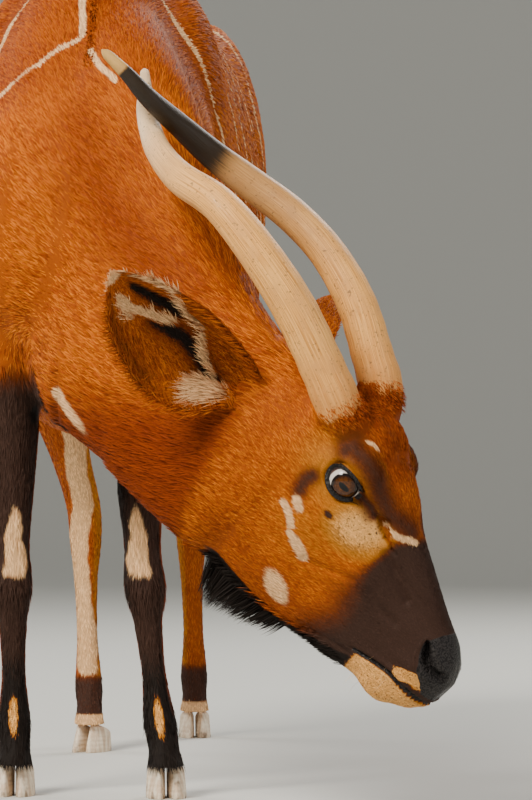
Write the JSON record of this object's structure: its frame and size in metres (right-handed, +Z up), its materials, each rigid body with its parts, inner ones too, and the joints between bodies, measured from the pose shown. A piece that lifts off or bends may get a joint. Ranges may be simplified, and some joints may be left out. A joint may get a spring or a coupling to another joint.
{
  "type": "antelope model",
  "caption": "Life-size still model of a striped forest antelope with spiral horns, standing on four feet with its head lowered to one side to graze.",
  "frame": {"origin": "middle of the box of the whole model, on the floor under the hooves", "axes": "+Z up, the body faces -Y, and the animal's left is +X"},
  "size_m": [0.6934, 1.8432, 1.2294],
  "materials": {
    "coat": "short rust-red fur with thin cream stripes, black and white marks",
    "horn": "worn cream-tan horn, the left one black-brown toward its tip",
    "hoof": "pale pinkish-cream hoof horn",
    "eye": "wet dark brown, glossy"
  },
  "bodies": {
    "root": {"ear_left": "coat", "ear_right": "coat", "eye_left": "eye", "eye_right": "eye", "head": "coat", "hoof_front_left_left_claw": "hoof", "hoof_front_left_right_claw": "hoof", "hoof_front_right_left_claw": "hoof", "hoof_front_right_right_claw": "hoof", "hoof_rear_left_left_claw": "hoof", "hoof_rear_left_right_claw": "hoof", "hoof_rear_right_left_claw": "hoof", "hoof_rear_right_right_claw": "hoof", "horn_left": "horn", "horn_right": "horn", "leg_front_left": "coat", "leg_front_right": "coat", "leg_rear_left": "coat", "leg_rear_right": "coat", "neck": "coat", "tail": "coat", "torso": "coat"}
  },
  "joints": []
}
